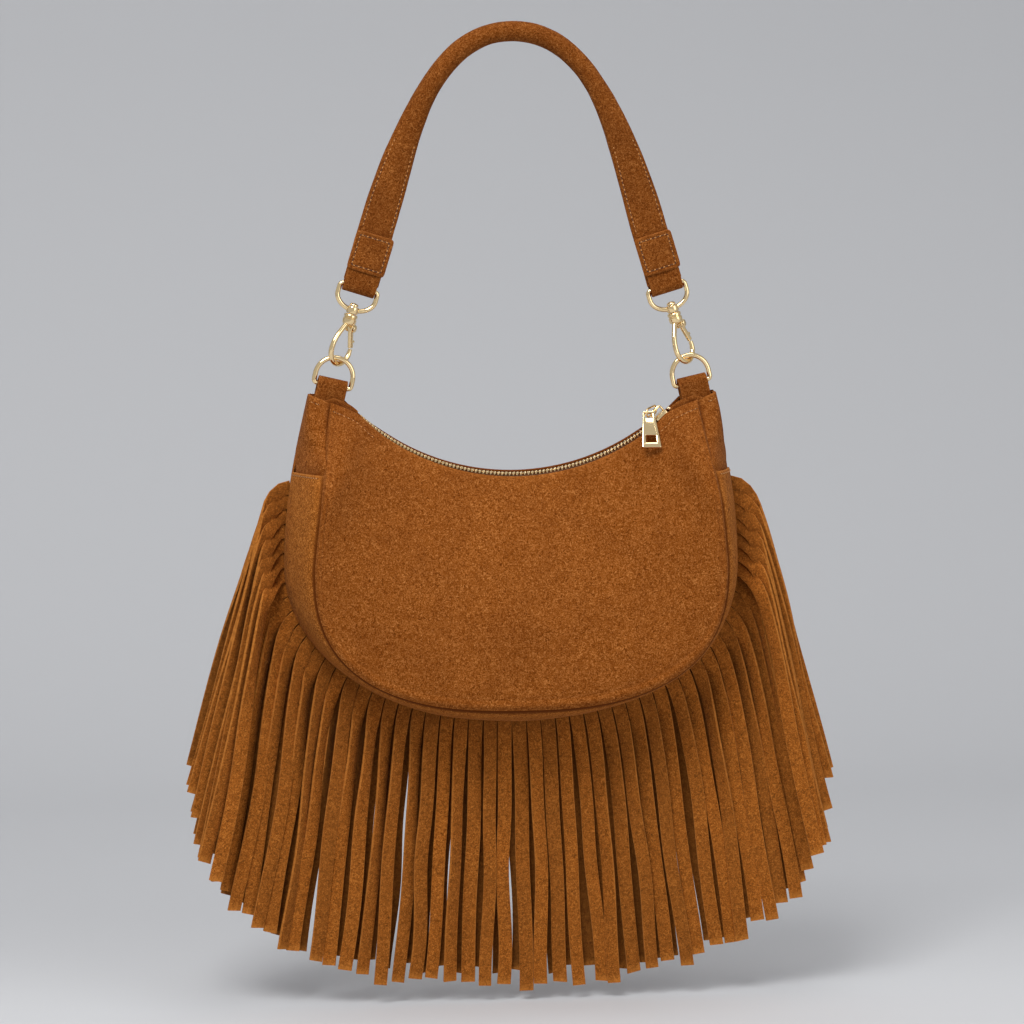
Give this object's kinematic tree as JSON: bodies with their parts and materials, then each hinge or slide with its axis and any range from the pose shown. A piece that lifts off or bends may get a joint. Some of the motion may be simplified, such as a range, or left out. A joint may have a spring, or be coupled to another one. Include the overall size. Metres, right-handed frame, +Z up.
{
  "type": "fringed shoulder bag",
  "caption": "Half-moon suede shoulder bag with cut fringe round its back seam, a curved zip, and a rolled handle on trigger hooks; hangs by its handle.",
  "frame": {"origin": "the hang point, under the middle of the handle's top", "axes": "+Z up, +X to the bag's right as seen from its front, -Y towards the front"},
  "size_m": [0.395, 0.0684, 0.5972],
  "materials": {
    "suede": "cognac suede with a short mottled nap",
    "handle_suede": "darker brown suede, edge stitched in golden tan",
    "fringe_suede": "soft suede strands with raw cut edges",
    "tape_cloth": "woven brown zip tape",
    "pale_gold": "polished pale gold plating"
  },
  "bodies": {
    "handle": {"handle": "handle_suede", "left_strap_end": "handle_suede", "right_strap_end": "handle_suede", "left_end_patch": "handle_suede", "right_end_patch": "handle_suede"},
    "loops": {"left_swivel_loop": "pale_gold", "right_swivel_loop": "pale_gold"},
    "left_hook": {"left_hook": "pale_gold", "left_gate_rivet": "pale_gold"},
    "right_hook": {"right_hook": "pale_gold", "right_gate_rivet": "pale_gold"},
    "left_gate": {"left_gate": "pale_gold"},
    "right_gate": {"right_gate": "pale_gold"},
    "rings": {"left_ring": "pale_gold", "right_ring": "pale_gold"},
    "bag": {"front_panel": "suede", "back_panel": "suede", "lower_gusset": "suede", "left_side_top": "suede", "right_side_top": "suede", "left_ring_tab": "suede", "right_ring_tab": "suede", "left_zip_end": "suede", "right_zip_end": "suede", "outer_fringe": "fringe_suede", "rear_fringe": "fringe_suede", "front_zip_tape": "tape_cloth", "back_zip_tape": "tape_cloth", "front_zip_teeth": "pale_gold", "back_zip_teeth": "pale_gold", "zip_bottom_stop": "pale_gold", "front_top_stop": "pale_gold", "back_top_stop": "pale_gold"},
    "slider": {"zip_slider": "pale_gold"},
    "link": {"pull_link": "pale_gold"},
    "pull": {"pull_tab": "pale_gold"}
  },
  "joints": [
    {"name": "loops_swing", "type": "hinge", "parent": "handle", "child": "loops", "pos_m": [0, 0, -0.14994], "axis": [1, 0, 0], "range_deg": [-12, 12]},
    {"name": "left_hook_swivel", "type": "hinge", "parent": "loops", "child": "left_hook", "pos_m": [-0.0995, 0, -0.1638], "axis": [0.2924, 0, 0.9563], "range_deg": [0, 40]},
    {"name": "right_hook_swivel", "type": "hinge", "parent": "loops", "child": "right_hook", "pos_m": [0.0995, 0, -0.1638], "axis": [-0.2924, 0, 0.9563], "range_deg": [0, 40]},
    {"name": "left_gate_open", "type": "hinge", "parent": "left_hook", "child": "left_gate", "pos_m": [-0.10046, 0.00226, -0.1747], "axis": [-0.6762, 0.7071, 0.2067], "range_deg": [0, 25], "stiffness_Nm_per_rad": 0.02, "springref_deg": -20.05},
    {"name": "right_gate_open", "type": "hinge", "parent": "right_hook", "child": "right_gate", "pos_m": [0.10479, 0.00226, -0.17337], "axis": [-0.6762, 0.7071, -0.2067], "range_deg": [0, 25], "stiffness_Nm_per_rad": 0.02, "springref_deg": -20.05},
    {"name": "rings_swing", "type": "hinge", "parent": "loops", "child": "rings", "pos_m": [0, 0, -0.19302], "axis": [1, 0, 0], "range_deg": [-6, 6]},
    {"name": "bag_swing", "type": "hinge", "parent": "rings", "child": "bag", "pos_m": [0, 0, -0.20987], "axis": [1, 0, 0], "range_deg": [-15, 15]},
    {"name": "zip_travel", "type": "hinge", "parent": "bag", "child": "slider", "pos_m": [0, 0, -0.123], "axis": [0, 1, 0], "range_deg": [0, 81.1]},
    {"name": "link_lift", "type": "hinge", "parent": "slider", "child": "link", "pos_m": [0.08852, 0, -0.22632], "axis": [0.7594, 0, 0.6506], "range_deg": [-60, 0]},
    {"name": "pull_swing", "type": "hinge", "parent": "link", "child": "pull", "pos_m": [0.08322, -0.00756, -0.22778], "axis": [0, 0.866, -0.5], "range_deg": [-11, 25]}
  ]
}
